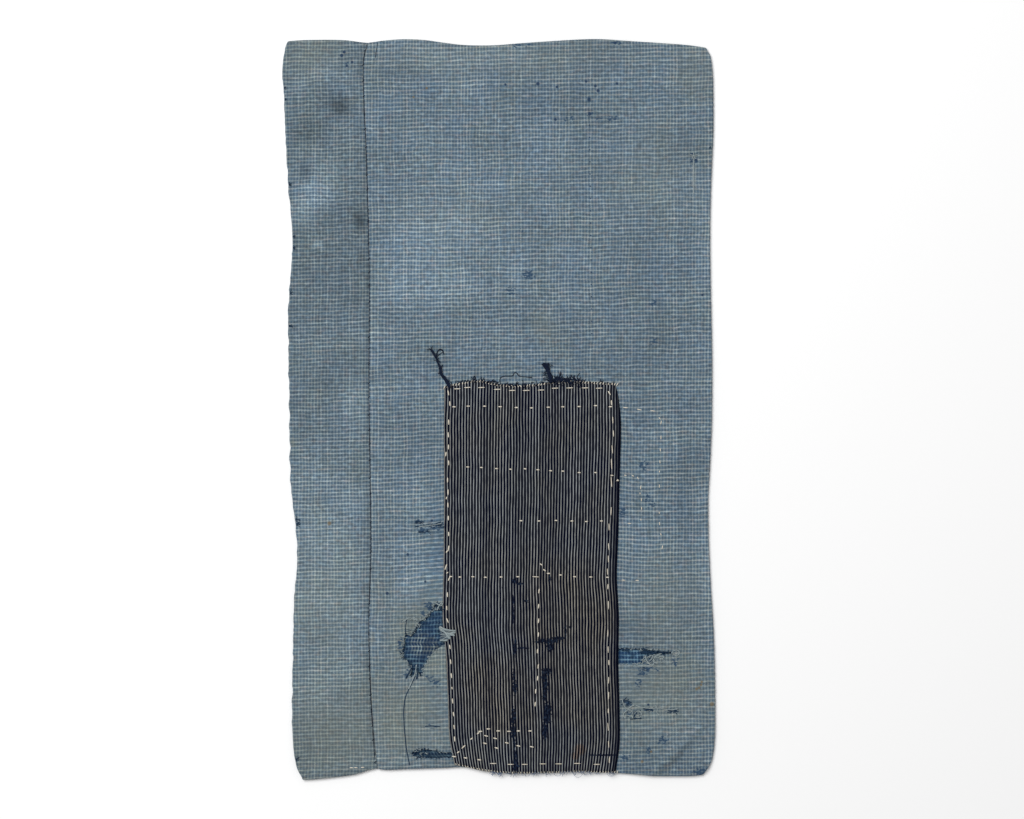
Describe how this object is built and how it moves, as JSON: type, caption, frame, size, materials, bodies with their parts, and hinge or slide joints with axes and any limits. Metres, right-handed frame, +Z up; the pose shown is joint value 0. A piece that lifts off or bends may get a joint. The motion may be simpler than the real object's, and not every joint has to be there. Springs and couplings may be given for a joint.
{
  "type": "boro patched cloth",
  "caption": "Flat double cloth of worn indigo check cotton, seamed from narrow loom lengths and mended with a navy and cream striped patch in running stitch.",
  "frame": {"origin": "middle of the bounding box's underside, on the surface that the cloth lies on", "axes": "+X to the right across the cloth seen from its face, +Y up its length, +Z up out of its face"},
  "size_m": [0.3248, 0.5559, 0.0061],
  "materials": {
    "faded_check": "matt, soft, worn indigo cotton with a small pale check",
    "navy_stripe": "matt navy cotton with fine cream stripes"
  },
  "bodies": {
    "root": {"main_cloth": "faded_check", "side_cloth": "faded_check", "striped_patch": "navy_stripe"}
  },
  "joints": []
}
